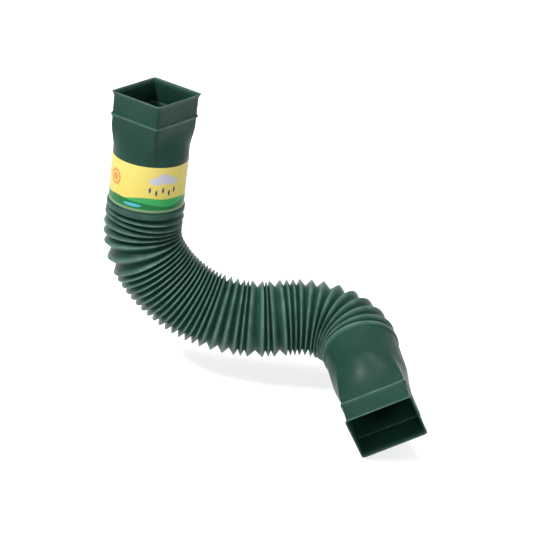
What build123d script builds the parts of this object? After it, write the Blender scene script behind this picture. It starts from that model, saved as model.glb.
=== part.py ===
from build123d import *
import os

# Flexible downspout extension: one blow-moulded plastic pipe with a printed sleeve round its neck.
# Millimetres, +Z up. The origin is the middle of the inlet mouth, where the downspout enters.
# X runs across the mouth's short side and Y along its long side.

# Socket, the same rectangular mouth at both ends, measured outside
mouth_depth = 80.0
mouth_width = 92.0
socket_length = 45.0
socket_corner = 3.0
lip_flare = 2.4
lip_height = 6.0
bead_place = 31.5
bead_height = 6.0
bead_bulge = 2.0
wall = 1.6

# Shoulders from the rectangle to the round necks. A flat side fades into an arc of this many degrees.
inlet_shoulder_length = 35.0
outlet_shoulder_length = 48.0
flat_side_arc = 44.0

# Round necks, and the plain collar at each end of the folds
neck_radius = 50.5
inlet_neck_length = 71.3
outlet_neck_length = 45.5
collar_step = 2.1
collar_length = 9.0

# The collar stands out from the neck by its step
collar_radius = neck_radius + collar_step

# Accordion wall: ridges, valleys and the wall's thickness measured across the pipe
ridge_radius = 53.5
valley_radius = 44.0
pleat_wall = 1.8

# How the folds stand, from the inlet collar to the outlet collar, in runs of like folds.
# Each row gives how many, the step from one ridge to the next, how many degrees a step turns,
# and the side it turns to, as an angle round the pipe from its own X.
fold_runs = [
    (2, 8.0, -2.5, -26),
    (3, 10.2, 5.6, -9),
    (2, 14.4, 10.9, -40),
    (15, 8.0, 3.0, -29),
    (3, 12.9, 4.1, -34),
    (2, 7.3, 2.3, -59),
    (1, 18.0, 3.7, -62),
    (2, 6.1, 2.1, -60),
    (1, 15.9, -1.5, 75),
    (3, 7.6, 1.7, 114),
    (2, 12.3, 6.1, 93),
    (5, 15.4, 12.4, 75),
    (1, 9.7, 7.2, 91),
]
outlet_roll = 10.4

# Printed sleeve round the inlet neck, clear of the shoulder by its drop and of the collar by its foot
sleeve_drop = 6.0
sleeve_foot = 1.3
sleeve_thickness = 0.4
sleeve_clearance = 0.2


def rectangle_section(plane, grow, inset):
    """A rounded rectangle across a socket, grown outwards past the plain socket and drawn in by the wall."""
    side = 2 * (grow - lip_flare - inset)
    with BuildSketch(plane) as outline:
        RectangleRounded(mouth_depth + side, mouth_width + side, socket_corner - inset)
    return outline.sketch.face()


def round_section(plane, radius):
    """A circle across the pipe."""
    with BuildSketch(plane) as outline:
        Circle(radius)
    return outline.sketch.face()


def shoulder_section(plane, radius):
    """The same circle in eight arcs, one for each flat side and each corner of the socket."""
    with BuildSketch(plane) as outline:
        with BuildLine():
            for quarter in range(4):
                flat_start = 90 * quarter - flat_side_arc / 2
                CenterArc((0, 0), radius, flat_start, flat_side_arc)
                CenterArc((0, 0), radius, flat_start + flat_side_arc, 90 - flat_side_arc)
        make_face()
    return outline.sketch.face()


def socket_sections(mouth, inset):
    """Sections of a socket from its flared lip past its bead to the end of its straight sides."""
    half_bead = bead_height / 2
    profile = [
        (0.0, lip_flare),
        (lip_height, 0.0),
        (bead_place - half_bead, 0.0),
        (bead_place, bead_bulge),
        (bead_place + half_bead, 0.0),
        (socket_length, 0.0),
    ]
    return [rectangle_section(mouth.offset(down), grow, inset) for down, grow in profile]


def neck_sections(neck_start, neck_length, inset):
    """Sections of a round neck and its collar, down to the first fold."""
    neck_end = neck_start.offset(neck_length)
    collar_end = neck_end.offset(collar_length)
    step_end = neck_end.offset(collar_step)
    return [
        round_section(neck_start, neck_radius - inset),
        round_section(neck_end, neck_radius - inset),
        round_section(step_end, collar_radius - inset),
        round_section(collar_end, collar_radius - inset),
    ]


def next_plane(plane, length, turn, side):
    """The plane a step further down the pipe, turned halfway along towards the given side."""
    halfway = Location((0, 0, length / 2))
    bend = Rotation(0, 0, side) * Rotation(0, turn, 0) * Rotation(0, 0, -side)
    return Plane(plane.location * halfway * bend * halfway)


def fold_planes(start):
    """Planes across the folds, a valley and a ridge in turn, up to the outlet collar."""
    planes = [start]
    for count, length, turn, side in fold_runs:
        for _ in range(2 * count):
            planes.append(next_plane(planes[-1], length / 2, turn / 2, side))
    return planes


def fold_sections(planes, inset):
    """Rings on the fold planes: a collar, then valley and ridge in turn, then the other collar."""
    rings = [round_section(planes[0], collar_radius - inset)]
    for place, plane in enumerate(planes[1:-1], start=1):
        radius = valley_radius if place % 2 else ridge_radius
        rings.append(round_section(plane, radius - inset))
    rings.append(round_section(planes[-1], collar_radius - inset))
    return rings


inlet_mouth = Plane(origin=(0, 0, 0), x_dir=(1, 0, 0), z_dir=(0, 0, -1))
inlet_reach = socket_length + inlet_shoulder_length + inlet_neck_length + collar_length
outlet_reach = socket_length + outlet_shoulder_length + outlet_neck_length + collar_length
folds = fold_planes(inlet_mouth.offset(inlet_reach))
outlet_end = folds[-1].location * Location((0, 0, outlet_reach)) * Rotation(0, 0, outlet_roll)
outlet_mouth = Plane(outlet_end * Rotation(180, 0, 0))


def end_stages(mouth, shoulder_length, neck_length, inset):
    """The three stretches of one end of the pipe: its socket, its shoulder and its neck with the collar."""
    neck_start = mouth.offset(socket_length + shoulder_length)
    socket = socket_sections(mouth, inset)
    shoulder = [socket[-1], shoulder_section(neck_start, neck_radius - inset)]
    return [socket, shoulder, neck_sections(neck_start, neck_length, inset)]


def pipe_stages(inset, pleat_inset):
    """Every stretch of the pipe as the list of its sections."""
    inlet = end_stages(inlet_mouth, inlet_shoulder_length, inlet_neck_length, inset)
    outlet = end_stages(outlet_mouth, outlet_shoulder_length, outlet_neck_length, inset)
    return [fold_sections(folds, pleat_inset)] + inlet + outlet


outside = pipe_stages(0, 0)
inside = pipe_stages(wall, pleat_wall)

# The pipe: its outer form, then its bore taken out
with BuildPart() as flexible_spout:
    for sections in outside:
        loft(sections, ruled=True)
    for sections in inside:
        loft(sections, ruled=True, mode=Mode.SUBTRACT)

# The printed sleeve, wrapped on the neck between the shoulder and the collar
sleeve_top = inlet_mouth.offset(socket_length + inlet_shoulder_length + sleeve_drop)
sleeve_height = inlet_neck_length - sleeve_drop - sleeve_foot
sleeve_bore = neck_radius + sleeve_clearance
with BuildPart() as label_wrap:
    with BuildSketch(sleeve_top):
        Circle(sleeve_bore + sleeve_thickness)
        Circle(sleeve_bore, mode=Mode.SUBTRACT)
    extrude(amount=sleeve_height)

flexible_spout.part.label = "flexible_spout"
label_wrap.part.label = "label_wrap"

os.makedirs("parts", exist_ok=True)
export_step(flexible_spout.part, "parts/flexible_spout.step")
export_step(label_wrap.part, "parts/label_wrap.step")
print("outlet mouth centre", outlet_mouth.origin, "outwards", outlet_mouth.z_dir * -1)
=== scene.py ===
"""Flexible downspout extension: the moulded pipe, its printed sleeve and a plain studio."""

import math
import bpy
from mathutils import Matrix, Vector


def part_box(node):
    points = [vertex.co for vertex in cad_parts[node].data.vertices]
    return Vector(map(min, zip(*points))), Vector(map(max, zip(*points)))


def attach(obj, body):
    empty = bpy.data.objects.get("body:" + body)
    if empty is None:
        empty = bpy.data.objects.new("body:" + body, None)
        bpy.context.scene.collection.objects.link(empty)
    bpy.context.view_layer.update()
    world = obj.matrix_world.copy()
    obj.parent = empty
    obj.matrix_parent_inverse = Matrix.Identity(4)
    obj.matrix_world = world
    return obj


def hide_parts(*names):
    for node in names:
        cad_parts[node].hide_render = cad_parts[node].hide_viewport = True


bl_info = {
    "name": "Flexible downspout extension",
    "version": (1, 0, 0),
    "blender": (4, 5, 0),
    "location": "3D View > Sidebar > Downspout",
    "description": "Builds a flexible downspout extension, its printed sleeve and a plain stage",
    "category": "Add Mesh",
}

import bpy
import numpy as np
from mathutils import Matrix, Vector

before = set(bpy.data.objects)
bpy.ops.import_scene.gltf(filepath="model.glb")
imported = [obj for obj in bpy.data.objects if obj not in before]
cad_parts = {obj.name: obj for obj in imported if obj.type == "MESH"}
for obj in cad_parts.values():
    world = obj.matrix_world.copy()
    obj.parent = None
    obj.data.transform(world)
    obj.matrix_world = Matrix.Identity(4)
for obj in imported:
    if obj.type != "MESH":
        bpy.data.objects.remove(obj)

MM = 0.001
BODY = "root"
PIPE_NODE = "flexible_spout"
SLEEVE_NODE = "label_wrap"

# How the folds stand, from the inlet collar to the outlet collar, in runs of like folds:
# how many, millimetres from one ridge to the next, degrees a step turns, and the side it turns to.
FOLD_RUNS = (
    (2, 8.0, -2.5, -26),
    (3, 10.2, 5.6, -9),
    (2, 14.4, 10.9, -40),
    (15, 8.0, 3.0, -29),
    (3, 12.9, 4.1, -34),
    (2, 7.3, 2.3, -59),
    (1, 18.0, 3.7, -62),
    (2, 6.1, 2.1, -60),
    (1, 15.9, -1.5, 75),
    (3, 7.6, 1.7, 114),
    (2, 12.3, 6.1, 93),
    (5, 15.4, 12.4, 75),
    (1, 9.7, 7.2, 91),
)

# How far a ring stands out, from the bottom of a fold to its ridge. It sets how much painted
# highlight the ring gets, and a valley is rounded less than an edge.
VALLEY, PLAIN, COLLAR, LIP_OR_BEAD, RIDGE = 0.0, 0.1, 0.6, 0.8, 1.0

# A rectangular socket's corners, as a number for the node trees
CORNERS = 4.0

# Rings that a shoulder takes to go from the rectangle to the round neck
SHOULDER_STEPS = 9

# Numbers that every ring carries into the node tree
RING_NUMBERS = ("radius", "half_x", "half_y", "roundness", "roll", "crest")

# Values between which most of a noise pattern lies
NOISE_SPAN = (0.3, 0.7)

WHITE = (1.0, 1.0, 1.0, 1.0)

# The print's motifs: places across from the print's middle and up from its foot, and half sizes,
# all in heights of the print
SUN_PLACE = (-0.72, 0.60)
SUN_RADIUS, SUN_RING_INSIDE, SUN_DISC = 0.17, 0.115, 0.085
CLOUD_PUFFS = (
    ((0.26, 0.70), (0.16, 0.085)),
    ((0.42, 0.755), (0.15, 0.11)),
    ((0.60, 0.70), (0.15, 0.08)),
)
DROP_PLACES = ((0.13, 0.50), (0.27, 0.44), (0.41, 0.50), (0.55, 0.44), (0.67, 0.50))
DROP_SIZE = (0.024, 0.062)
POND_PLACE, POND_SIZE = (-0.22, 0.13), (0.20, 0.035)

# The hills' outlines: a level, and waves given by their height, their pace and where they start
FAR_HILLS = (0.27, ((0.055, 2.6, 0.6), (0.02, 6.1, 2.0)))
NEAR_HILLS = (0.19, ((0.05, 3.4, 3.1), (0.015, 7.3, 0.4)))
FOOT_STRIP = 0.055
FOOT_COLOUR = (0.22, 0.36, 0.20)

# The studio's lamps: a name, a place in metres, the side of the square in metres, and watts
LAMPS = (
    ("key", (-0.55, -1.35, 1.5), 0.45, 32.0),
    ("side", (1.5, -1.25, 0.0), 0.6, 6.0),
    ("top", (0.1, -0.1, 1.95), 0.9, 18.0),
)


def length(name, description, default):
    """A size in metres that a user may change."""
    return bpy.props.FloatProperty(
        name=name,
        description=description,
        default=default,
        min=0.0,
        unit="LENGTH",
        precision=4,
    )


def turn_angle(name, description, degrees):
    """An angle that a user may change, given in degrees."""
    return bpy.props.FloatProperty(
        name=name,
        description=description,
        default=math.radians(degrees),
        subtype="ANGLE",
    )


def share(name, description, default):
    """A number from 0 to 1 that a user may change."""
    return bpy.props.FloatProperty(
        name=name,
        description=description,
        default=default,
        min=0.0,
        max=1.0,
        subtype="FACTOR",
    )


def count(name, description, default, least):
    """A whole number that a user may change."""
    return bpy.props.IntProperty(name=name, description=description, default=default, min=least)


def colour(name, description, default):
    """A colour that a user may change."""
    return bpy.props.FloatVectorProperty(
        name=name,
        description=description,
        default=default,
        size=3,
        min=0.0,
        max=1.0,
        subtype="COLOR",
    )


class PipeSettings(bpy.types.PropertyGroup):
    """Sizes and finish of the moulded pipe."""

    mouth_depth: length("Mouth depth", "Short side of the rim, outside", 80.0 * MM)
    mouth_width: length("Mouth width", "Long side of the rim, outside", 92.0 * MM)
    socket_length: length("Socket length", "Straight sides below the rim", 45.0 * MM)
    lip_flare: length("Lip flare", "How far the rim stands out from the sides", 2.4 * MM)
    lip_height: length("Lip height", "Length of the flared lip", 6.0 * MM)
    bead_place: length("Bead place", "Distance of the raised bead from the rim", 31.5 * MM)
    bead_height: length("Bead height", "Width of the bead along the pipe", 6.0 * MM)
    bead_bulge: length("Bead bulge", "How far the bead stands out", 2.0 * MM)
    wall: length("Wall", "Thickness of the sockets and necks", 1.6 * MM)
    inlet_shoulder: length("Inlet shoulder", "From rectangle to round at the inlet", 35.0 * MM)
    outlet_shoulder: length("Outlet shoulder", "From rectangle to round at the outlet", 48.0 * MM)
    shoulder_ease: share("Shoulder ease", "How softly a shoulder starts and ends", 0.6)
    neck_radius: length("Neck radius", "Round neck, outside", 50.5 * MM)
    inlet_neck: length("Inlet neck", "Length of the neck under the sleeve", 71.3 * MM)
    outlet_neck: length("Outlet neck", "Length of the neck at the outlet", 45.5 * MM)
    collar_radius: length("Collar radius", "Plain ring at each end of the folds", 52.6 * MM)
    collar_length: length("Collar length", "Length of that ring", 9.0 * MM)
    ridge_radius: length("Ridge radius", "Outside of the folds", 53.5 * MM)
    valley_radius: length("Valley radius", "Bottom of the folds", 44.0 * MM)
    fold_wall: length("Fold wall", "Thickness of the folds across the pipe", 1.8 * MM)
    edge_rounding: length("Edge rounding", "How far the moulding rounds an edge", 1.4 * MM)
    valley_rounding: length("Valley rounding", "How far it rounds a fold's bottom", 0.5 * MM)
    outlet_roll: turn_angle("Outlet roll", "Turn of the outlet's rectangle round the pipe", 10.4)
    corner_sharpness: bpy.props.FloatProperty(
        name="Corner sharpness",
        description="2 makes the socket an oval, and large numbers make its corners sharp",
        default=28.0,
        min=2.0,
        max=60.0,
    )
    points_around: count("Points around", "Points in one ring of the mesh", 128, 32)
    corner_crowding: share("Corner crowding", "How closely they stand at the corners", 0.62)
    rows_per_ring: count("Rows per ring", "Mesh rows that round each edge", 3, 1)
    weld: length("Weld", "Distance at which the mesh's seams are merged", 0.01 * MM)
    plastic: colour("Plastic", "Colour of the moulded plastic", (0.019, 0.072, 0.053))
    roughness: share("Roughness", "Dullness of the plastic", 0.38)


class SleeveSettings(bpy.types.PropertyGroup):
    """Sizes and colours of the printed sleeve."""

    film: length("Film", "Thickness of the film", 0.22 * MM)
    clearance: length("Clearance", "Air between the neck and the film", 0.05 * MM)
    facing: turn_angle("Facing", "Side of the neck that the print's middle is on", -58.97208)
    lap: turn_angle("Lap", "How far the film's end laps its start", 14.0)
    segments: count("Segments", "Steps round the sleeve", 192, 24)
    field: colour("Field", "Main colour of the print", (0.905, 0.745, 0.155))
    hills: colour("Hills", "Green of the band along the foot", (0.006, 0.185, 0.040))
    sun: colour("Sun", "Orange of the round shape", (0.83, 0.36, 0.09))
    cloud: colour("Cloud", "Pale shape", (0.72, 0.72, 0.83))
    rain: colour("Rain", "Dark drops", (0.065, 0.055, 0.17))
    pond: colour("Pond", "Small blue shape", (0.10, 0.55, 0.66))


class StageSettings(bpy.types.PropertyGroup):
    """Floor, surroundings and camera."""

    floor_colour: colour("Floor", "Colour of the floor", (0.86, 0.86, 0.86))
    floor_gap: length("Floor gap", "Air between the floor and the pipe", 2.0 * MM)
    surroundings: share("Surroundings", "How strongly the white surroundings give light", 0.22)
    camera_place: bpy.props.FloatVectorProperty(
        name="Camera place",
        description="Where the camera stands",
        default=(1.106, -1.494, 0.647),
        size=3,
        subtype="TRANSLATION",
    )
    camera_turn: bpy.props.FloatVectorProperty(
        name="Camera turn",
        description="How the camera is turned",
        default=(math.radians(64.40), math.radians(-7.33), math.radians(34.52)),
        size=3,
        subtype="EULER",
    )
    lens: bpy.props.FloatProperty(
        name="Lens", description="Focal length", default=100.0, min=1.0, unit="CAMERA"
    )


def feed(tree, socket, value):
    """Link a socket to another node's output, or set its own value."""
    if isinstance(value, bpy.types.NodeSocket):
        tree.links.new(value, socket)
    else:
        socket.default_value = value


def calc(tree, operation, *values):
    """One step of arithmetic."""
    node = tree.nodes.new("ShaderNodeMath")
    node.operation = operation
    for socket, value in zip(node.inputs, values):
        feed(tree, socket, value)
    return node.outputs[0]


def vector_sum(tree, *vectors):
    """Vectors added together."""
    total = vectors[0]
    for vector in vectors[1:]:
        node = tree.nodes.new("ShaderNodeVectorMath")
        node.operation = "ADD"
        feed(tree, node.inputs[0], total)
        feed(tree, node.inputs[1], vector)
        total = node.outputs[0]
    return total


def scaled(tree, vector, factor):
    """A vector or a colour times a number."""
    node = tree.nodes.new("ShaderNodeVectorMath")
    node.operation = "SCALE"
    feed(tree, node.inputs[0], vector)
    feed(tree, node.inputs["Scale"], factor)
    return node.outputs[0]


def parts_of(tree, vector):
    """The three numbers of a vector."""
    node = tree.nodes.new("ShaderNodeSeparateXYZ")
    tree.links.new(vector, node.inputs[0])
    return node.outputs


def new_tree(name, inputs, outputs):
    """An empty geometry tree, with its inputs and outputs given as names and kinds."""
    tree = bpy.data.node_groups.new(name, "GeometryNodeTree")
    for way, sockets in (("INPUT", inputs), ("OUTPUT", outputs)):
        for socket, kind in sockets:
            tree.interface.new_socket(socket, in_out=way, socket_type="NodeSocket" + kind)
    given = tree.nodes.new("NodeGroupInput").outputs
    result = tree.nodes.new("NodeGroupOutput").inputs
    return tree, given, result


def position(tree):
    """Where a point is."""
    return tree.nodes.new("GeometryNodeInputPosition").outputs[0]


def named(tree, name, kind="FLOAT"):
    """The value of a named attribute."""
    node = tree.nodes.new("GeometryNodeInputNamedAttribute")
    node.data_type = kind
    node.inputs["Name"].default_value = name
    return node.outputs["Attribute"]


def sampled(tree, geometry, value, index, kind="FLOAT"):
    """A value of one point of another geometry."""
    node = tree.nodes.new("GeometryNodeSampleIndex")
    node.data_type = kind
    node.domain = "POINT"
    tree.links.new(geometry, node.inputs["Geometry"])
    tree.links.new(value, node.inputs["Value"])
    tree.links.new(index, node.inputs["Index"])
    return node.outputs[0]


def stored(tree, geometry, name, value):
    """Geometry with a number kept on each of its points."""
    node = tree.nodes.new("GeometryNodeStoreNamedAttribute")
    node.data_type = "FLOAT"
    node.domain = "POINT"
    node.inputs["Name"].default_value = name
    tree.links.new(geometry, node.inputs["Geometry"])
    tree.links.new(value, node.inputs["Value"])
    return node.outputs["Geometry"]


def passed(tree, geometry, kind, **values):
    """Geometry led through one more node, whose other inputs are given by name."""
    node = tree.nodes.new(kind)
    tree.links.new(geometry, node.inputs["Geometry"])
    for name, value in values.items():
        feed(tree, node.inputs[name], value)
    return node.outputs["Geometry"]


def rectangle_reach(tree, off_roll, half_x, half_y, sharpness):
    """How far a rectangle with rounded corners reaches at an angle from its own X."""
    flat_x = calc(tree, "ABSOLUTE", calc(tree, "DIVIDE", calc(tree, "COSINE", off_roll), half_x))
    flat_y = calc(tree, "ABSOLUTE", calc(tree, "DIVIDE", calc(tree, "SINE", off_roll), half_y))
    # Divided by the larger one first, because a high power of a large number overflows
    nearest = calc(tree, "MAXIMUM", flat_x, flat_y)
    powers = [
        calc(tree, "POWER", calc(tree, "DIVIDE", flat, nearest), sharpness)
        for flat in (flat_x, flat_y)
    ]
    root = calc(tree, "DIVIDE", -1.0, sharpness)
    rounding = calc(tree, "POWER", calc(tree, "ADD", *powers), root)
    return calc(tree, "DIVIDE", rounding, nearest)


def ring_point_group():
    """A node group that finds the point of a numbered ring at an angle."""
    inputs = (
        ("Rings", "Geometry"),
        ("Index", "Int"),
        ("Angle", "Float"),
        ("Corner sharpness", "Float"),
    )
    tree, given, result = new_tree("ring_point", inputs, (("Point", "Vector"),))
    rings, index, angle = given["Rings"], given["Index"], given["Angle"]

    def of_ring(name, kind="FLOAT"):
        """A value that the numbered ring carries."""
        return sampled(tree, rings, named(tree, name, kind), index, kind)

    centre = sampled(tree, rings, position(tree), index, "FLOAT_VECTOR")
    off_roll = calc(tree, "SUBTRACT", angle, of_ring("roll"))
    rectangle = rectangle_reach(
        tree, off_roll, of_ring("half_x"), of_ring("half_y"), given["Corner sharpness"]
    )
    # A section between a rectangle and a circle reaches between the two
    roundness = of_ring("roundness")
    square_part = calc(tree, "MULTIPLY", rectangle, calc(tree, "SUBTRACT", 1.0, roundness))
    round_part = calc(tree, "MULTIPLY", of_ring("radius"), roundness)
    reach = calc(tree, "ADD", square_part, round_part)
    arms = [
        scaled(
            tree,
            of_ring(axis, "FLOAT_VECTOR"),
            calc(tree, "MULTIPLY", reach, calc(tree, operation, angle)),
        )
        for axis, operation in (("across_x", "COSINE"), ("across_y", "SINE"))
    ]
    tree.links.new(vector_sum(tree, centre, *arms), result["Point"])
    return tree


def flat_sheet(tree, rows, around):
    """A flat sheet of unit squares whose points know their row and their column."""
    grid = tree.nodes.new("GeometryNodeMeshGrid")
    tree.links.new(rows, grid.inputs["Size X"])
    tree.links.new(around, grid.inputs["Size Y"])
    tree.links.new(calc(tree, "ADD", rows, 1), grid.inputs["Vertices X"])
    tree.links.new(calc(tree, "ADD", around, 1), grid.inputs["Vertices Y"])
    place = parts_of(tree, position(tree))
    sheet = grid.outputs["Mesh"]
    for name, from_middle, size in (("row", place[0], rows), ("column", place[1], around)):
        number = calc(tree, "ADD", from_middle, calc(tree, "DIVIDE", size, 2.0))
        sheet = stored(tree, sheet, name, calc(tree, "ROUND", number))
    return sheet


def near_rings(tree, rings, ring_count, rows_each):
    """A row's own ring, the one before and the one after, each with the row's share of it."""
    # The nudge keeps a ring's first row from counting to the ring before
    nudge, half_row = 0.01, 0.5
    place = calc(tree, "DIVIDE", named(tree, "row"), rows_each)
    whole = calc(tree, "FLOOR", calc(tree, "ADD", place, nudge))
    within = calc(tree, "MULTIPLY", calc(tree, "SUBTRACT", place, whole), rows_each)
    part = calc(tree, "DIVIDE", calc(tree, "ADD", within, half_row), rows_each)
    rest = calc(tree, "SUBTRACT", 1.0, part)
    here, before, after = [
        calc(tree, "FLOORED_MODULO", calc(tree, "ADD", whole, step), ring_count)
        for step in (0.0, -1.0, 1.0)
    ]
    back, on = [
        calc(
            tree,
            "MULTIPLY",
            sampled(tree, rings, named(tree, name), here),
            calc(tree, "MULTIPLY", distance, distance),
        )
        for name, distance in (("back", rest), ("on", part))
    ]
    stay = calc(tree, "SUBTRACT", calc(tree, "SUBTRACT", 1.0, back), on)
    return (here, stay), (before, back), (after, on)


def column_angle(tree, rings, ring_number, around, crowding):
    """A column's angle round the pipe, with the columns crowded at the rectangle's corners."""
    turn = calc(tree, "MULTIPLY", calc(tree, "DIVIDE", named(tree, "column"), around), math.tau)
    swing = calc(tree, "SINE", calc(tree, "MULTIPLY", turn, CORNERS))
    shift = calc(tree, "MULTIPLY", swing, calc(tree, "DIVIDE", crowding, CORNERS))
    roll = sampled(tree, rings, named(tree, "roll"), ring_number)
    return calc(tree, "ADD", calc(tree, "ADD", turn, shift), roll)


def moulded_pipe_group():
    """A node group that skins a loop of rings as one closed wall and rounds each ring's edge."""
    inputs = (
        ("Rings", "Geometry"),
        ("Points around", "Int"),
        ("Rows per ring", "Int"),
        ("Corner sharpness", "Float"),
        ("Corner crowding", "Float"),
        ("Weld", "Float"),
        ("Material", "Material"),
    )
    tree, given, result = new_tree("moulded_pipe", inputs, (("Geometry", "Geometry"),))
    rings, around, rows_each = given["Rings"], given["Points around"], given["Rows per ring"]
    size = tree.nodes.new("GeometryNodeAttributeDomainSize")
    tree.links.new(rings, size.inputs["Geometry"])
    ring_count = size.outputs["Point Count"]

    near = near_rings(tree, rings, ring_count, rows_each)
    own_ring = near[0][0]
    angle = column_angle(tree, rings, own_ring, around, given["Corner crowding"])
    group = ring_point_group()
    pulls = []
    for number, weight in near:
        point = tree.nodes.new("GeometryNodeGroup")
        point.node_tree = group
        tree.links.new(rings, point.inputs["Rings"])
        tree.links.new(number, point.inputs["Index"])
        tree.links.new(angle, point.inputs["Angle"])
        tree.links.new(given["Corner sharpness"], point.inputs["Corner sharpness"])
        pulls.append(scaled(tree, point.outputs["Point"], weight))

    sheet = flat_sheet(tree, calc(tree, "MULTIPLY", ring_count, rows_each), around)
    rounded = vector_sum(tree, *pulls)
    skin = passed(tree, sheet, "GeometryNodeSetPosition", Position=rounded)
    for name in ("along", "crest"):
        skin = stored(tree, skin, name, sampled(tree, rings, named(tree, name), own_ring))
    skin = passed(tree, skin, "GeometryNodeMergeByDistance", Distance=given["Weld"])
    skin = passed(tree, skin, "GeometryNodeSetShadeSmooth")
    skin = passed(tree, skin, "GeometryNodeRealizeInstances")
    skin = passed(tree, skin, "GeometryNodeSetMaterial", Material=given["Material"])
    tree.links.new(skin, result["Geometry"])
    return tree


def set_input(modifier, name, value):
    """Set a node modifier's input by the name it has in the tree."""
    for item in modifier.node_group.interface.items_tree:
        if item.item_type == "SOCKET" and item.in_out == "INPUT" and item.name == name:
            modifier[item.identifier] = value
            return
    raise RuntimeError(f"the tree has no input named {name}")


def new_piece(name, mesh):
    """A mesh object at the origin, linked to the scene."""
    piece = bpy.data.objects.new(name, mesh)
    bpy.context.scene.collection.objects.link(piece)
    return piece


def made_plain(source, name):
    """The result of an object's modifiers as a plain mesh object, with the source taken away."""
    bpy.context.view_layer.update()
    evaluated = source.evaluated_get(bpy.context.evaluated_depsgraph_get())
    mesh = bpy.data.meshes.new_from_object(evaluated)
    old_mesh = source.data
    bpy.data.objects.remove(source)
    bpy.data.meshes.remove(old_mesh)
    mesh.name = name
    return new_piece(name, mesh)


def point_outwards(mesh):
    """Turn a closed mesh's faces round where they point inwards and its volume is negative."""
    mesh.calc_loop_triangles()
    points = np.empty(len(mesh.vertices) * 3, np.float32)
    mesh.vertices.foreach_get("co", points)
    points = points.reshape(-1, 3).astype(float)
    corners = np.empty(len(mesh.loop_triangles) * 3, np.int32)
    mesh.loop_triangles.foreach_get("vertices", corners)
    a, b, c = points[corners.reshape(-1, 3)].transpose(1, 0, 2)
    if np.einsum("ij,ij->i", a, np.cross(b, c)).sum() < 0.0:
        mesh.flip_normals()


def ring(place, radius, roll=0.0, crest=PLAIN, halves=None, roundness=1.0):
    """One section on its own plane: a circle, a rectangle of given halves, or between them."""
    half_x, half_y = halves or (radius, radius)
    return {
        "place": place,
        "radius": radius,
        "roll": roll,
        "crest": crest,
        "half_x": half_x,
        "half_y": half_y,
        "roundness": roundness,
    }


def down(place, distance):
    """A plane further down the pipe."""
    return place @ Matrix.Translation((0.0, 0.0, distance))


def next_place(place, step, turn, side):
    """A plane a step further down the pipe, turned halfway along towards the given side."""
    to_side = Matrix.Rotation(side, 4, "Z")
    from_side = Matrix.Rotation(-side, 4, "Z")
    bend = to_side @ Matrix.Rotation(turn, 4, "Y") @ from_side
    return down(down(place, step / 2.0) @ bend, step / 2.0)


class PipeEnd:
    """One end of the pipe: its mouth's plane, the way the pipe leads on from it, its lengths."""

    def __init__(self, mouth, way, shoulder, neck, roll):
        self.mouth = mouth
        self.way = way
        self.shoulder = shoulder
        self.neck = neck
        self.roll = roll

    def at(self, depth):
        """The plane at a depth below the mouth."""
        return down(self.mouth, self.way * depth)


def socket_halves(pipe, inset):
    """Half the sides of the plain socket, below its lip."""
    drawn_in = pipe.lip_flare + inset
    return (pipe.mouth_depth / 2.0 - drawn_in, pipe.mouth_width / 2.0 - drawn_in)


def socket_rings(pipe, end, inset):
    """A socket from its flared lip past its bead to the end of its straight sides."""
    half_bead = pipe.bead_height / 2.0
    profile = (
        (0.0, pipe.lip_flare),
        (pipe.lip_height, 0.0),
        (pipe.bead_place - half_bead, 0.0),
        (pipe.bead_place, pipe.bead_bulge),
        (pipe.bead_place + half_bead, 0.0),
        (pipe.socket_length, 0.0),
    )
    half_x, half_y = socket_halves(pipe, inset)
    rings = []
    for depth, grow in profile:
        crest = LIP_OR_BEAD if grow > 0.0 else PLAIN
        halves = (half_x + grow, half_y + grow)
        rings.append(ring(end.at(depth), half_x, end.roll, crest, halves, roundness=0.0))
    return rings


def shoulder_rings(pipe, end, inset):
    """The shoulder, where the rectangle goes over into the round neck."""
    halves = socket_halves(pipe, inset)
    radius = pipe.neck_radius - inset
    ease = pipe.shoulder_ease
    rings = []
    for step in range(1, SHOULDER_STEPS + 1):
        done = step / SHOULDER_STEPS
        softly = done * done * (3.0 - 2.0 * done)
        roundness = ease * softly + (1.0 - ease) * done
        place = end.at(pipe.socket_length + done * end.shoulder)
        rings.append(ring(place, radius, end.roll, halves=halves, roundness=roundness))
    return rings


def neck_rings(pipe, end, inset):
    """A round neck and the step up to its collar."""
    below_shoulder = 4.0 * MM
    neck_start = pipe.socket_length + end.shoulder
    neck_end = neck_start + end.neck
    rise = pipe.collar_radius - pipe.neck_radius
    profile = (
        (neck_start + below_shoulder, pipe.neck_radius, PLAIN),
        (neck_end, pipe.neck_radius, PLAIN),
        (neck_end + rise, pipe.collar_radius, COLLAR),
    )
    return [
        ring(end.at(depth), radius - inset, end.roll, crest) for depth, radius, crest in profile
    ]


def fold_rings(pipe, start, inset):
    """The collar, then valley and ridge in turn, then the other collar, and that collar's plane."""
    last = 2 * sum(run[0] for run in FOLD_RUNS)
    place = start
    rings = [ring(place, pipe.collar_radius - inset, crest=COLLAR)]
    for number, step, turn, side in FOLD_RUNS:
        half_step = (step * MM / 2.0, math.radians(turn / 2.0), math.radians(side))
        for _ in range(number):
            roll = pipe.outlet_roll * len(rings) / last
            valley = next_place(place, *half_step)
            place = next_place(valley, *half_step)
            tip = pipe.collar_radius if len(rings) == last - 1 else pipe.ridge_radius
            rings.append(ring(valley, pipe.valley_radius - inset, roll, VALLEY))
            rings.append(ring(place, tip - inset, roll, RIDGE))
    return rings, place


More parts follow.
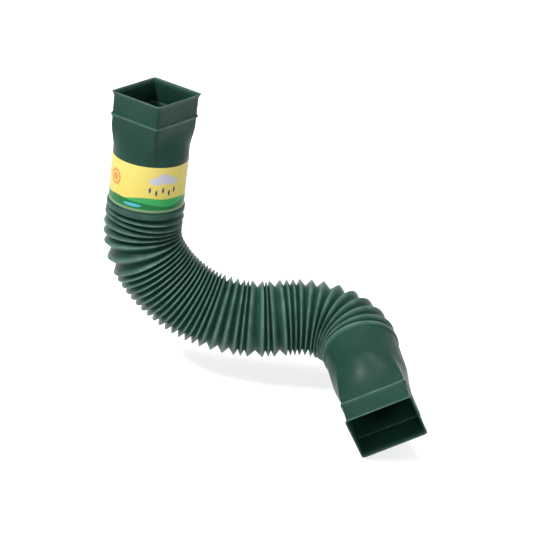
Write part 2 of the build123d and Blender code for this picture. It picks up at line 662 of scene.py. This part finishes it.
def wall_rings(pipe, inset, fold_inset):
    """Rings of one side of the wall, from the inlet's rim to the outlet's rim."""
    # The inlet's mouth lies at the origin and the pipe leads straight down from it
    top = Matrix(((1, 0, 0, 0), (0, -1, 0, 0), (0, 0, -1, 0), (0, 0, 0, 1)))
    straight = pipe.socket_length + pipe.collar_length
    inlet = PipeEnd(top, 1.0, pipe.inlet_shoulder, pipe.inlet_neck, 0.0)
    folds_start = inlet.at(straight + inlet.shoulder + inlet.neck)
    folds, folds_end = fold_rings(pipe, folds_start, fold_inset)
    rim = down(folds_end, straight + pipe.outlet_shoulder + pipe.outlet_neck)
    outlet = PipeEnd(rim, -1.0, pipe.outlet_shoulder, pipe.outlet_neck, pipe.outlet_roll)
    ends = []
    for end in (inlet, outlet):
        socket = socket_rings(pipe, end, inset)
        shoulder = shoulder_rings(pipe, end, inset)
        ends.append(socket + shoulder + neck_rings(pipe, end, inset))
    return ends[0] + folds + ends[1][::-1]


def side_reach(section):
    """How far a section stands out in the middle of its side."""
    return section["half_x"] + (section["radius"] - section["half_x"]) * section["roundness"]


def ring_gap(first, second):
    """How far apart two sections are, measured along the wall."""
    least = 1e-6
    apart = (second["place"].translation - first["place"].translation).length
    change = side_reach(second) - side_reach(first)
    return max(math.hypot(apart, change), least)


def rings_object(pipe):
    """A loop of rings as points: down the outside of the wall, and back up its inside."""
    most_rounding = 0.45
    loop = wall_rings(pipe, 0.0, 0.0) + wall_rings(pipe, pipe.wall, pipe.fold_wall)[::-1]
    mesh = bpy.data.meshes.new("rings")
    mesh.from_pydata([section["place"].translation for section in loop], [], [])
    numbers = {name: [] for name in (*RING_NUMBERS, "back", "on", "along")}
    along = 0.0
    for index, section in enumerate(loop):
        gap_back = ring_gap(loop[index - 1], section)
        gap_on = ring_gap(section, loop[(index + 1) % len(loop)])
        along += gap_back
        for name in RING_NUMBERS:
            numbers[name].append(section[name])
        rounding = pipe.valley_rounding if section["crest"] == VALLEY else pipe.edge_rounding
        numbers["back"].append(min(most_rounding, rounding / gap_back))
        numbers["on"].append(min(most_rounding, rounding / gap_on))
        numbers["along"].append(along)
    for name, values in numbers.items():
        mesh.attributes.new(name, "FLOAT", "POINT").data.foreach_set("value", values)
    for axis, name in enumerate(("across_x", "across_y")):
        vectors = np.array([section["place"].col[axis][:3] for section in loop], np.float32)
        stored_vectors = mesh.attributes.new(name, "FLOAT_VECTOR", "POINT")
        stored_vectors.data.foreach_set("vector", vectors.ravel())
    return new_piece("rings", mesh)


def new_material(name):
    """A new node material, its tree and its shader."""
    material = bpy.data.materials.new(name)
    material.use_nodes = True
    return material, material.node_tree, material.node_tree.nodes["Principled BSDF"]


def object_place(tree):
    """Where a surface is on its own object."""
    return tree.nodes.new("ShaderNodeTexCoord").outputs["Object"]


def noise(tree, coordinates, scale, detail=2.0):
    """A noise pattern on the given coordinates: the larger its scale, the finer it is."""
    node = tree.nodes.new("ShaderNodeTexNoise")
    tree.links.new(coordinates, node.inputs["Vector"])
    node.inputs["Scale"].default_value = scale
    node.inputs["Detail"].default_value = detail
    return node.outputs["Fac"]


def mapped(tree, value, from_range, to_range=(0.0, 1.0), soft=False):
    """A value moved from one range to another and kept inside it."""
    node = tree.nodes.new("ShaderNodeMapRange")
    node.interpolation_type = "SMOOTHSTEP" if soft else "LINEAR"
    for socket, number in zip(node.inputs, (value, *from_range, *to_range)):
        feed(tree, socket, number)
    return node.outputs["Result"]


def mixed(tree, part, first, second):
    """One colour laid over another in part."""
    node = tree.nodes.new("ShaderNodeMix")
    node.data_type = "RGBA"
    feed(tree, node.inputs["Factor"], part)
    colour_inputs = [socket for socket in node.inputs if socket.type == "RGBA"]
    for socket, value in zip(colour_inputs, (first, second)):
        feed(tree, socket, value if isinstance(value, bpy.types.NodeSocket) else (*value, 1.0))
    return [socket for socket in node.outputs if socket.type == "RGBA"][0]


def attribute(tree, name):
    """A piece's own attribute in a material."""
    node = tree.nodes.new("ShaderNodeAttribute")
    node.attribute_name = name
    return node.outputs["Fac"]


def shade(base, gain, lift=0.0):
    """A colour made stronger or weaker, and paler."""
    return tuple(min(1.0, gain * part + lift) for part in base)


def bumped(tree, shader, height, strength, distance):
    """Give a shader small relief from a pattern of heights."""
    bump = tree.nodes.new("ShaderNodeBump")
    bump.inputs["Strength"].default_value = strength
    bump.inputs["Distance"].default_value = distance
    tree.links.new(height, bump.inputs["Height"])
    tree.links.new(bump.outputs["Normal"], shader.inputs["Normal"])


def plastic_colour_and_highlight(tree, pipe, place):
    """Slow patches of two greens, and a painted highlight: paler green laid unevenly on ridges."""
    # Noise over which one green goes over into the other, how far rings stand out where the
    # painted highlight starts and where it is strongest, and how strong it gets
    patch_edge, highlighted_rings, highlight_strength = (0.35, 0.7), (0.45, RIDGE), (0.0, 1.6)
    base = tuple(pipe.plastic)
    deeper = shade(base, gain=0.78)
    # Painted highlight: a paler, greyer green, strongest on ridges and weaker on lips, beads and
    # collars
    paler = shade(base, gain=2.2, lift=0.095)
    patches = mapped(tree, noise(tree, place, scale=16.0, detail=3.0), patch_edge, soft=True)
    # How much painted highlight each ring gets, broken up by noise
    ridges = mapped(tree, attribute(tree, "crest"), highlighted_rings, highlight_strength)
    painted_highlight = calc(tree, "MULTIPLY", ridges, noise(tree, place, scale=60.0, detail=4.0))
    return mixed(tree, painted_highlight, mixed(tree, patches, deeper, base), paler)


def plastic_relief(tree, place):
    """Heights of fine grain, rings that the mould leaves across the pipe, and slow waves."""
    along = tree.nodes.new("ShaderNodeCombineXYZ")
    tree.links.new(attribute(tree, "along"), along.inputs["X"])
    grain = noise(tree, place, scale=900.0)
    mould_rings = noise(tree, along.outputs[0], scale=260.0)
    waves = noise(tree, place, scale=28.0, detail=1.0)
    height = 0.0
    for pattern, depth in ((grain, 0.10), (mould_rings, 0.30), (waves, 0.7)):
        height = calc(tree, "ADD", height, calc(tree, "MULTIPLY", pattern, depth))
    return height


def spout_plastic(pipe):
    """Dark green moulded plastic: soft gloss, faint mould rings and painted highlights on ridges.
    """
    # How much glossier and how much duller the plastic is in places
    glossier, duller = 0.06, 0.08
    material, tree, shader = new_material("spout_plastic")
    place = object_place(tree)
    tree.links.new(plastic_colour_and_highlight(tree, pipe, place), shader.inputs["Base Color"])
    dull_noise = noise(tree, place, scale=45.0, detail=4.0)
    dullness = (pipe.roughness - glossier, pipe.roughness + duller)
    tree.links.new(mapped(tree, dull_noise, NOISE_SPAN, dullness), shader.inputs["Roughness"])
    shader.inputs["IOR"].default_value = 1.5
    shader.inputs["Specular IOR Level"].default_value = 0.12
    bumped(tree, shader, plastic_relief(tree, place), strength=0.35, distance=0.6 * MM)
    return material


def oval(tree, across, up, middle, size, softness=0.06):
    """A share of 1 inside an oval and 0 outside it."""
    x = calc(tree, "DIVIDE", calc(tree, "SUBTRACT", across, middle[0]), size[0])
    y = calc(tree, "DIVIDE", calc(tree, "SUBTRACT", up, middle[1]), size[1])
    squares = calc(tree, "ADD", calc(tree, "MULTIPLY", x, x), calc(tree, "MULTIPLY", y, y))
    reach = calc(tree, "SQRT", squares)
    return mapped(tree, reach, (1.0 - softness, 1.0 + softness), (1.0, 0.0), soft=True)


def wavy_line(tree, across, level, swings):
    """A height that rises and falls across the print."""
    total = level
    for size, pace, start in swings:
        wave = calc(tree, "SINE", calc(tree, "ADD", calc(tree, "MULTIPLY", across, pace), start))
        total = calc(tree, "ADD", total, calc(tree, "MULTIPLY", wave, size))
    return total


def below(tree, up, level, softness=0.015):
    """A share of 1 below a level and 0 above it."""
    gap = calc(tree, "SUBTRACT", level, up)
    return mapped(tree, gap, (-softness, softness), soft=True)


def printed_motifs(tree, sleeve, across, up):
    """The print's colours: a field with a sun, a cloud, rain, two hills, a pond and a strip."""
    # Heights between which the field gets paler
    fade = (0.2, 0.95)
    field, sun, cloud, rain, hills, pond = (
        tuple(each)
        for each in (sleeve.field, sleeve.sun, sleeve.cloud, sleeve.rain, sleeve.hills, sleeve.pond)
    )
    pale_field = shade(field, gain=1.04, lift=0.05)
    far_green = shade(hills, gain=2.2, lift=0.03)

    def shape(middle, size, **softness):
        """Where an oval motif is printed."""
        return oval(tree, across, up, middle, size, **softness)

    motifs = [
        (shape(SUN_PLACE, (radius, radius)), ink)
        for radius, ink in ((SUN_RADIUS, sun), (SUN_RING_INSIDE, pale_field), (SUN_DISC, sun))
    ]
    motifs += [(shape(middle, size), cloud) for middle, size in CLOUD_PUFFS]
    motifs += [(shape(middle, DROP_SIZE, softness=0.2), rain) for middle in DROP_PLACES]
    motifs += [
        (below(tree, up, wavy_line(tree, across, *FAR_HILLS)), far_green),
        (below(tree, up, wavy_line(tree, across, *NEAR_HILLS)), hills),
        (shape(POND_PLACE, POND_SIZE, softness=0.15), pond),
        (below(tree, up, FOOT_STRIP), FOOT_COLOUR),
    ]
    inks = mixed(tree, mapped(tree, up, fade), field, pale_field)
    for where, ink in motifs:
        inks = mixed(tree, where, inks, ink)
    return inks


def label_print(sleeve):
    """The sleeve's satin film with its print, a little speckled and not quite flat."""
    # Noise over which the ink changes, its share of the full ink there, and how dull the film is
    speckle_edge, speckle_ink, dullness = (0.35, 0.65), (0.96, 1.0), (0.36, 0.50)
    material, tree, shader = new_material("label_print")
    uv = tree.nodes.new("ShaderNodeUVMap")
    uv.uv_map = "print"
    across, up = parts_of(tree, uv.outputs["UV"])[:2]
    place = object_place(tree)

    speckle = mapped(tree, noise(tree, place, scale=420.0), speckle_edge, speckle_ink)
    inks = scaled(tree, printed_motifs(tree, sleeve, across, up), speckle)
    tree.links.new(inks, shader.inputs["Base Color"])
    dull_noise = noise(tree, place, scale=30.0, detail=3.0)
    tree.links.new(mapped(tree, dull_noise, NOISE_SPAN, dullness), shader.inputs["Roughness"])
    shader.inputs["IOR"].default_value = 1.46
    shader.inputs["Specular IOR Level"].default_value = 0.3
    ripples = noise(tree, place, scale=38.0)
    bumped(tree, shader, ripples, strength=0.25, distance=0.4 * MM)
    return material


class DOWNSPOUT_OT_pipe(bpy.types.Operator):
    """Build the moulded pipe with its sockets, necks and folds"""

    bl_idname = "downspout.add_pipe"
    bl_label = "Moulded pipe"

    def execute(self, context):
        pipe = context.scene.downspout_pipe
        rings = rings_object(pipe)
        modifier = rings.modifiers.new("moulded pipe", "NODES")
        modifier.node_group = moulded_pipe_group()
        for name, value in (
            ("Points around", pipe.points_around),
            ("Rows per ring", pipe.rows_per_ring),
            ("Corner sharpness", pipe.corner_sharpness),
            ("Corner crowding", pipe.corner_crowding),
            ("Weld", pipe.weld),
            ("Material", spout_plastic(pipe)),
        ):
            set_input(modifier, name, value)
        piece = made_plain(rings, "spout_body")
        if not piece.data.polygons:
            raise RuntimeError("the pipe came out empty")
        point_outwards(piece.data)
        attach(piece, BODY)
        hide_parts(PIPE_NODE)
        return {"FINISHED"}


def film_points(sleeve, neck_radius, low, high):
    """The film's points, four to a column, and the place of each on the print."""
    # The film's end rises over its start in the last stretch before the full turn
    rise_stretch, lap_air = 0.15, 0.4 * sleeve.clearance
    inner = neck_radius + sleeve.clearance
    if inner + 2.0 * sleeve.film + sleeve.clearance > high.x:
        raise RuntimeError("the film is too thick for its place")
    height = high.z - low.z
    sweep = math.tau + sleeve.lap
    rise_start = math.tau - rise_stretch
    points, prints = [], []
    for column in range(sleeve.segments + 1):
        turn = column / sleeve.segments * sweep
        risen = max(0.0, turn - rise_start) / (sweep - rise_start)
        inside = inner + risen * (sleeve.film + lap_air)
        outside = inside + sleeve.film
        angle = sleeve.facing + math.pi + turn
        across = (turn - math.pi) * high.x / height
        for radius, level in (
            (inside, low.z),
            (outside, low.z),
            (outside, high.z),
            (inside, high.z),
        ):
            points.append((radius * math.cos(angle), radius * math.sin(angle), level))
            prints.append((across, (level - low.z) / height))
    return points, prints


def strip_faces(columns):
    """Faces of a closed strip with four points to a column and a face at each end."""
    faces = []
    for column in range(columns - 1):
        a, b = 4 * column, 4 * (column + 1)
        for edge in range(4):
            on = (edge + 1) % 4
            faces.append((a + edge, b + edge, b + on, a + on))
    last = 4 * (columns - 1)
    faces.append((0, 1, 2, 3))
    faces.append((last + 3, last + 2, last + 1, last))
    return faces


class DOWNSPOUT_OT_sleeve(bpy.types.Operator):
    """Wrap the printed sleeve round the inlet's neck"""

    bl_idname = "downspout.add_sleeve"
    bl_label = "Printed sleeve"

    def execute(self, context):
        sharp_angle = math.radians(40.0)
        sleeve = context.scene.downspout_sleeve
        low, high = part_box(SLEEVE_NODE)
        neck_radius = context.scene.downspout_pipe.neck_radius
        points, prints = film_points(sleeve, neck_radius, low, high)
        mesh = bpy.data.meshes.new("printed_sleeve")
        mesh.from_pydata(points, [], strip_faces(sleeve.segments + 1))
        uv = mesh.uv_layers.new(name="print")
        for loop in mesh.loops:
            uv.data[loop.index].uv = prints[loop.vertex_index]
        point_outwards(mesh)
        mesh.materials.append(label_print(sleeve))
        mesh.set_sharp_from_angle(angle=sharp_angle)
        piece = new_piece("printed_sleeve", mesh)
        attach(piece, BODY)
        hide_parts(SLEEVE_NODE)
        return {"FINISHED"}


def area_lamp(name, place, size, power, target):
    """A soft square lamp that faces a point."""
    data = bpy.data.lights.new(name, "AREA")
    data.shape = "SQUARE"
    data.size = size
    data.energy = power
    lamp = bpy.data.objects.new(name, data)
    lamp.location = place
    lamp.rotation_euler = (Vector(target) - Vector(place)).to_track_quat("-Z", "Y").to_euler()
    bpy.context.scene.collection.objects.link(lamp)


def seen_directly(tree):
    """A share of 1 for rays from the camera, and for what gloss or something clear shows."""
    path = tree.nodes.new("ShaderNodeLightPath").outputs
    both = calc(tree, "MAXIMUM", path["Is Camera Ray"], path["Is Transmission Ray"])
    return calc(tree, "MAXIMUM", both, path["Is Glossy Ray"])


def white_world(level):
    """A world that is seen as white and that lights the object softly."""
    world = bpy.data.worlds.new("studio")
    world.use_nodes = True
    tree = world.node_tree
    background = tree.nodes["Background"]
    background.inputs["Color"].default_value = WHITE
    strength = mapped(tree, seen_directly(tree), (0.0, 1.0), (level, 1.0))
    tree.links.new(strength, background.inputs["Strength"])
    bpy.context.scene.world = world


def floor_material(stage):
    """A floor seen as white from afar, that keeps a soft shadow near the object."""
    # Near the pipe the floor shines less, so that the shadow shows, and further out it is white
    fade, near_glow = (0.45, 1.1), 0.72
    material, tree, shader = new_material("pale_floor")
    shader.inputs["Base Color"].default_value = (*stage.floor_colour, 1.0)
    shader.inputs["Roughness"].default_value = 0.9
    shader.inputs["Specular IOR Level"].default_value = 0.0
    reach = tree.nodes.new("ShaderNodeVectorMath")
    reach.operation = "LENGTH"
    tree.links.new(object_place(tree), reach.inputs[0])
    glow = mapped(tree, reach.outputs["Value"], fade, (near_glow, 1.0), soft=True)
    seen_glow = calc(tree, "MULTIPLY", glow, seen_directly(tree))
    shader.inputs["Emission Color"].default_value = WHITE
    tree.links.new(seen_glow, shader.inputs["Emission Strength"])
    return material


def pale_floor(stage, middle, level):
    """A wide square floor under the pipe's middle."""
    half = 12.0
    corners = [(x * half, y * half, 0.0) for x, y in ((-1, -1), (1, -1), (1, 1), (-1, 1))]
    mesh = bpy.data.meshes.new("floor")
    mesh.from_pydata(corners, [], [(0, 1, 2, 3)])
    mesh.materials.append(floor_material(stage))
    floor = new_piece("floor", mesh)
    floor.location = (middle.x, middle.y, level)
    return floor


def photo_camera(stage):
    """The camera, at the photograph's viewing angle."""
    sensor_width, sight = 36.0, 60.0
    data = bpy.data.cameras.new("camera")
    data.lens = stage.lens
    data.sensor_width = sensor_width
    data.clip_end = sight
    camera = bpy.data.objects.new("camera", data)
    camera.location = stage.camera_place
    camera.rotation_euler = stage.camera_turn
    bpy.context.scene.collection.objects.link(camera)
    return camera


class DOWNSPOUT_OT_stage(bpy.types.Operator):
    """Set the floor, the lamps and the camera"""

    bl_idname = "downspout.add_stage"
    bl_label = "Stage"

    def execute(self, context):
        stage = context.scene.downspout_stage
        low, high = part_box(PIPE_NODE)
        middle = (low + high) / 2.0
        floor = pale_floor(stage, middle, low.z - stage.floor_gap)
        white_world(stage.surroundings)
        for lamp in LAMPS:
            area_lamp(*lamp, middle)
        context.scene.camera = photo_camera(stage)
        context.scene.view_settings.view_transform = "Standard"
        return {"FINISHED"}


class DOWNSPOUT_PT_panel(bpy.types.Panel):
    """Sizes, colours and build buttons for the downspout extension"""

    bl_idname = "DOWNSPOUT_PT_panel"
    bl_label = "Downspout extension"
    bl_space_type = "VIEW_3D"
    bl_region_type = "UI"
    bl_category = "Downspout"

    def draw(self, context):
        scene = context.scene
        for settings, operator in (
            (scene.downspout_pipe, DOWNSPOUT_OT_pipe),
            (scene.downspout_sleeve, DOWNSPOUT_OT_sleeve),
            (scene.downspout_stage, DOWNSPOUT_OT_stage),
        ):
            box = self.layout.box()
            for name in settings.__annotations__:
                box.prop(settings, name)
            box.operator(operator.bl_idname)


CLASSES = (
    PipeSettings,
    SleeveSettings,
    StageSettings,
    DOWNSPOUT_OT_pipe,
    DOWNSPOUT_OT_sleeve,
    DOWNSPOUT_OT_stage,
    DOWNSPOUT_PT_panel,
)


def register():
    """Make the settings, operators and panel known to Blender."""
    for each in CLASSES:
        bpy.utils.register_class(each)
    bpy.types.Scene.downspout_pipe = bpy.props.PointerProperty(type=PipeSettings)
    bpy.types.Scene.downspout_sleeve = bpy.props.PointerProperty(type=SleeveSettings)
    bpy.types.Scene.downspout_stage = bpy.props.PointerProperty(type=StageSettings)


def unregister():
    """Take them away again."""
    del bpy.types.Scene.downspout_stage
    del bpy.types.Scene.downspout_sleeve
    del bpy.types.Scene.downspout_pipe
    for each in reversed(CLASSES):
        bpy.utils.unregister_class(each)


def main():
    """Build the whole scene."""
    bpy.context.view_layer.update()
    register()
    bpy.ops.downspout.add_stage()
    bpy.ops.downspout.add_pipe()
    bpy.ops.downspout.add_sleeve()


if __name__ == "__main__":
    main()
